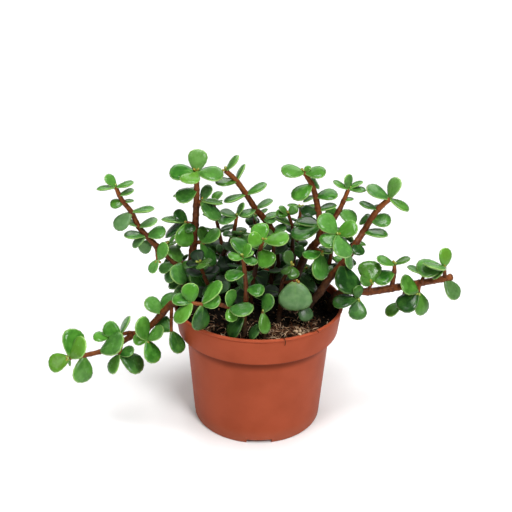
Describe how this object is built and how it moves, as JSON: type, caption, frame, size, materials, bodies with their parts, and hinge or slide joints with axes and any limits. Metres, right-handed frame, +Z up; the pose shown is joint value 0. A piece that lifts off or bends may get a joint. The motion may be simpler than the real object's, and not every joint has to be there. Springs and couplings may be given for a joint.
{
  "type": "potted elephant bush",
  "caption": "Small elephant bush with round succulent leaves on reddish trailing stems, rooted in soil in a flared plastic nursery pot that stands on its foot.",
  "frame": {"origin": "centre of the pot's foot, on the surface it stands on", "axes": "+Z up along the pot's axis, +X to the viewer's right along the plant's widest spread, -Y towards the viewer"},
  "size_m": [0.2867, 0.1279, 0.1987],
  "materials": {
    "pot_plastic": "matt terracotta-coloured injection moulded plastic",
    "soil": "dark peat with pale fibres",
    "leafy_stem": "glossy succulent leaves on reddish brown stems"
  },
  "bodies": {
    "root": {"pot": "pot_plastic", "soil": "soil", "shoot_front_small": "leafy_stem", "stem_back_left": "leafy_stem", "stem_back_left_low": "leafy_stem", "stem_back_middle": "leafy_stem", "stem_back_right": "leafy_stem", "stem_back_right_low": "leafy_stem", "stem_forked_right": "leafy_stem", "stem_front": "leafy_stem", "stem_front_rosette": "leafy_stem", "stem_grey_front": "leafy_stem", "stem_inner_right": "leafy_stem", "stem_leaning_centre": "leafy_stem", "stem_left_trailer": "leafy_stem", "stem_left_upper": "leafy_stem", "stem_left_upright": "leafy_stem", "stem_middle": "leafy_stem", "stem_middle_left": "leafy_stem", "stem_middle_right": "leafy_stem", "stem_right_trailer": "leafy_stem", "stem_right_upper": "leafy_stem", "stem_small_centre": "leafy_stem", "stem_thin_left": "leafy_stem"}
  },
  "joints": []
}
